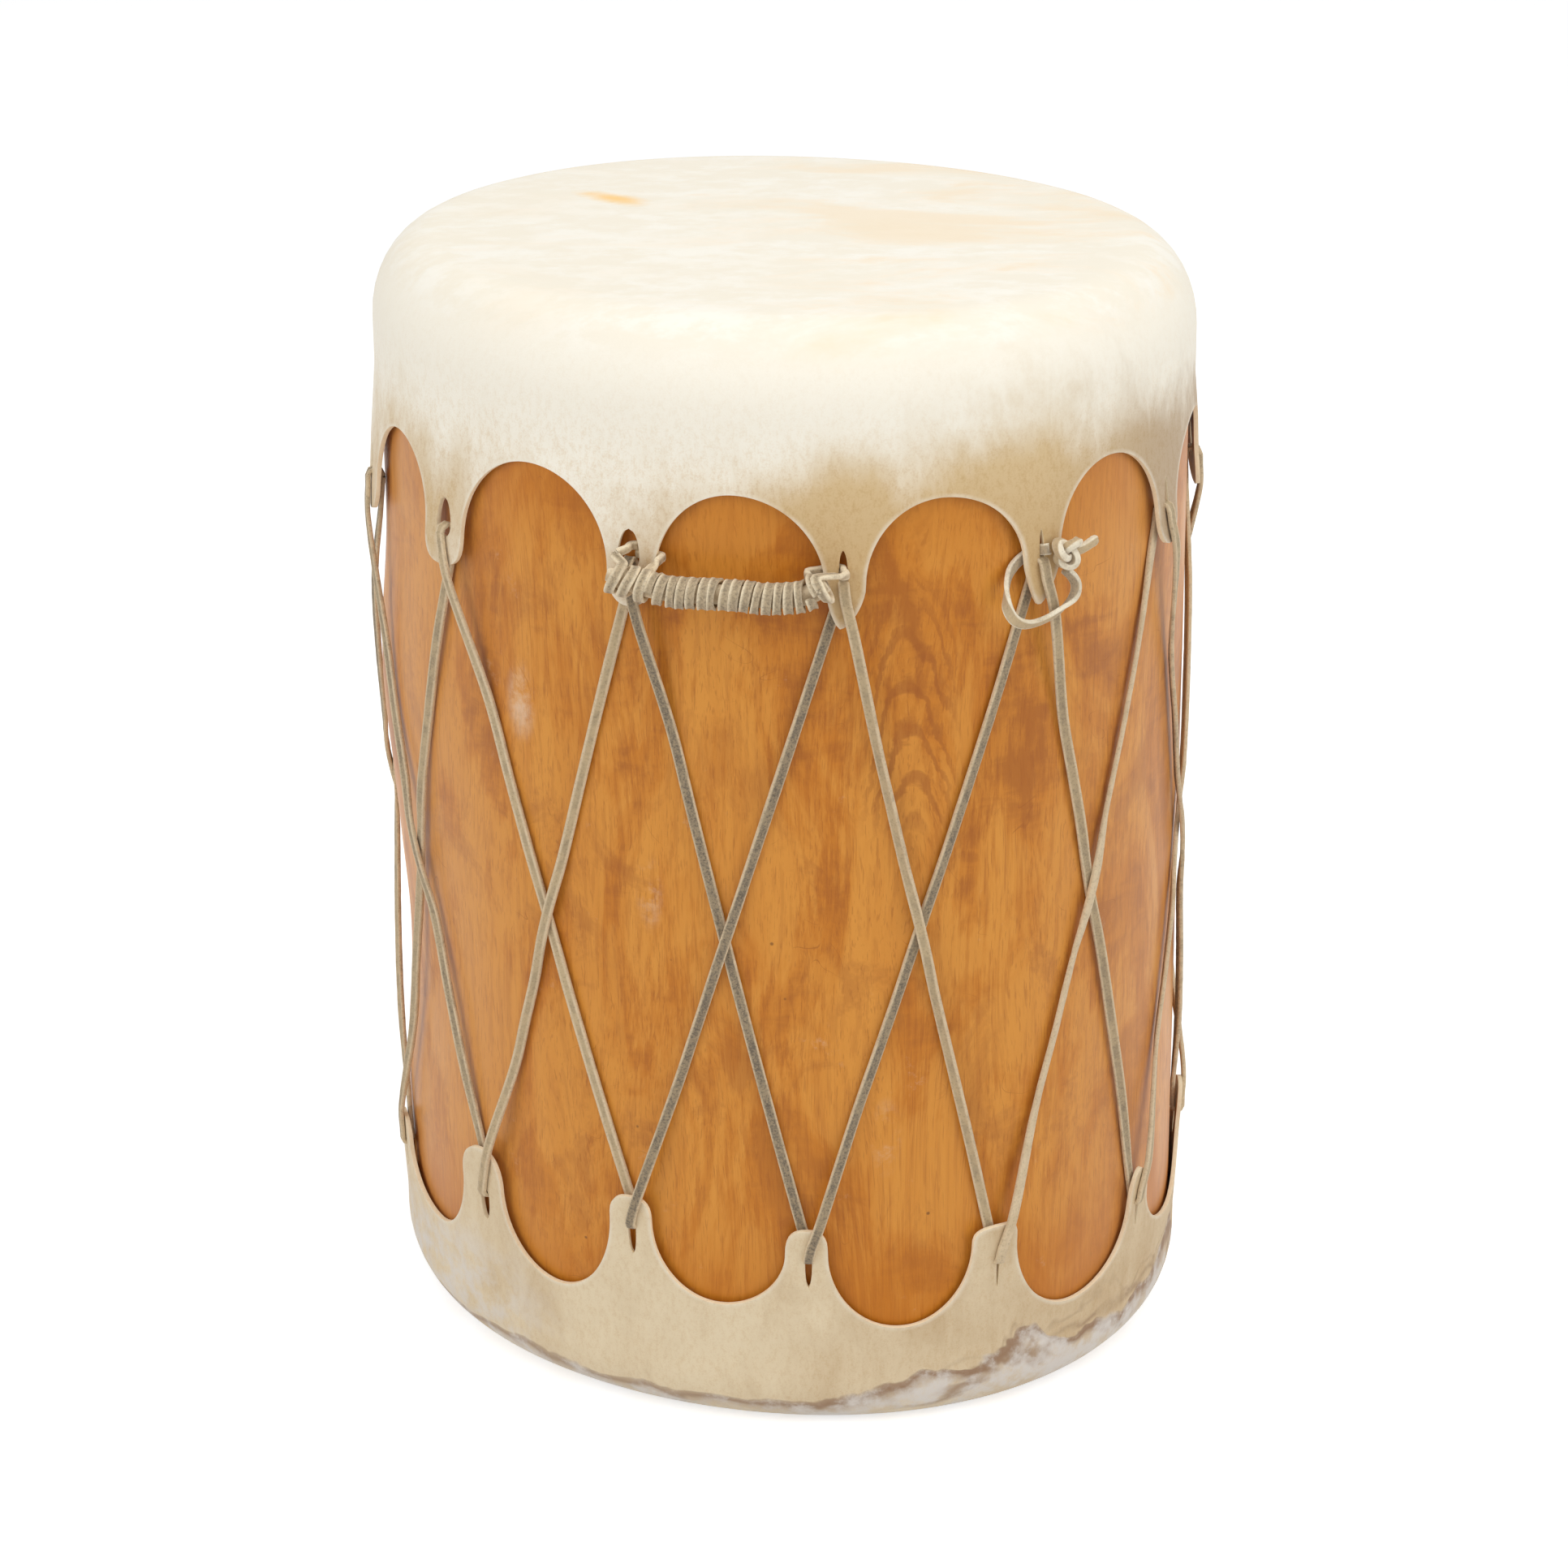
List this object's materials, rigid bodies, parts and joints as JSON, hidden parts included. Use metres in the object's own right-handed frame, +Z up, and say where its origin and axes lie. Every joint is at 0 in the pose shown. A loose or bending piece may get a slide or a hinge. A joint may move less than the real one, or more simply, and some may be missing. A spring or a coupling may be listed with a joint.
{
  "type": "laced log drum",
  "caption": "Upright two-headed log drum: a hollow wooden shell, rawhide heads laced together with thongs, a wound carrying handle and a small pull loop.",
  "frame": {"origin": "middle of the lower head's flat face, where the drum stands", "axes": "+Z up the shell, -Y out of the side that carries the handle, +X to the right seen from there"},
  "size_m": [0.382, 0.3551, 0.512],
  "materials": {
    "shell_wood": "honey-orange, worn satin varnish over fine vertical grain",
    "white_rawhide": "creamy scraped rawhide, matt with faint blotches",
    "tan_rawhide": "tan scraped rawhide, scuffed, with brown tide lines",
    "lace_hide": "thong with a fuzzy grey flesh side and a tan grain side",
    "handle_hide": "wound thong, fuzzy grey-beige bands between pale ridges",
    "pale_hide": "pale thong with a lighter cut edge"
  },
  "bodies": {
    "drum": {"shell": "shell_wood", "top_head": "white_rawhide", "bottom_head": "tan_rawhide", "lace_a": "lace_hide", "lace_b": "lace_hide", "pull_loop": "pale_hide", "loop_knot": "pale_hide"},
    "handle": {"handle_core": "handle_hide", "handle_wrap": "handle_hide", "handle_tie_left": "handle_hide", "handle_tie_right": "handle_hide"}
  },
  "joints": [
    {"name": "handle_swing", "type": "hinge", "parent": "drum", "child": "handle", "pos_m": [-0.01905, -0.15488, 0.414], "axis": [-0.9808, 0.1843, 0.0642], "range_deg": [-20, 58], "deforming": ["handle_tie_left", "handle_tie_right"]}
  ]
}
